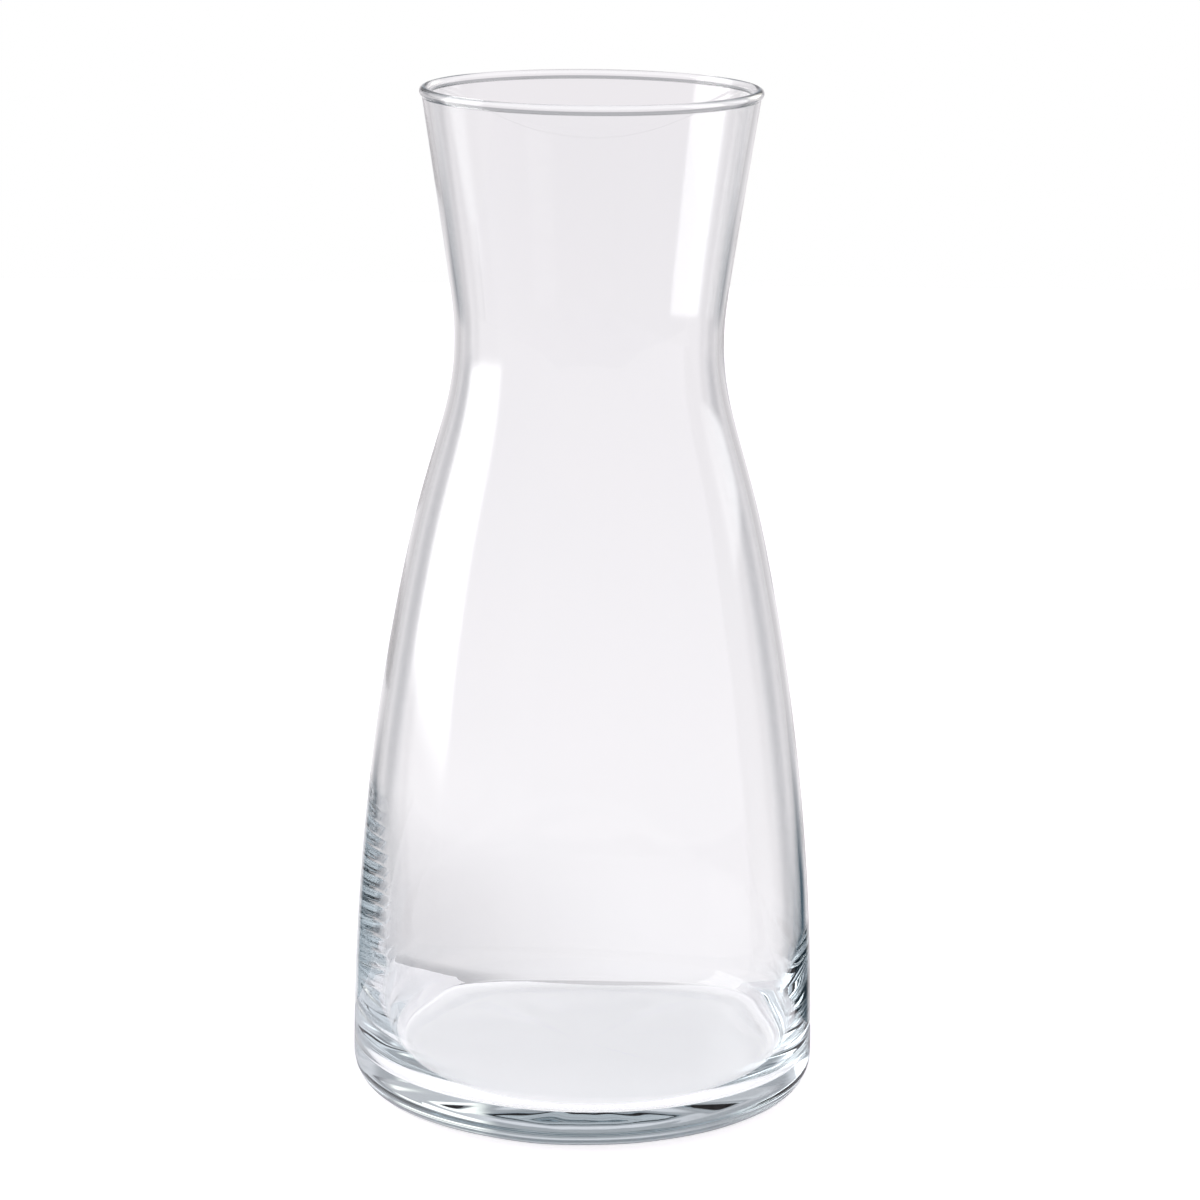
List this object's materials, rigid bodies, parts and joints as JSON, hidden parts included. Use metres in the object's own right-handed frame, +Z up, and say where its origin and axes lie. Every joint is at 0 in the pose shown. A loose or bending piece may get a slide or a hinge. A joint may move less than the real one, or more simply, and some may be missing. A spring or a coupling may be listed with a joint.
{
  "type": "carafe",
  "caption": "Open clear-glass table carafe with a wide thick base, a long curved body, a drawn-in waist to hold it by and a flared neck with a rounded lip.",
  "frame": {"origin": "on the axis of the carafe, in the plane of the bearing ring that it stands on", "axes": "+Z up along the axis of revolution, X and Y across it"},
  "size_m": [0.105, 0.105, 0.2287],
  "materials": {
    "clear_glass": "clear colourless soda-lime glass, fire-polished, faint horizontal ripples low on the wall"
  },
  "bodies": {
    "root": {"carafe_body": "clear_glass"}
  },
  "joints": []
}
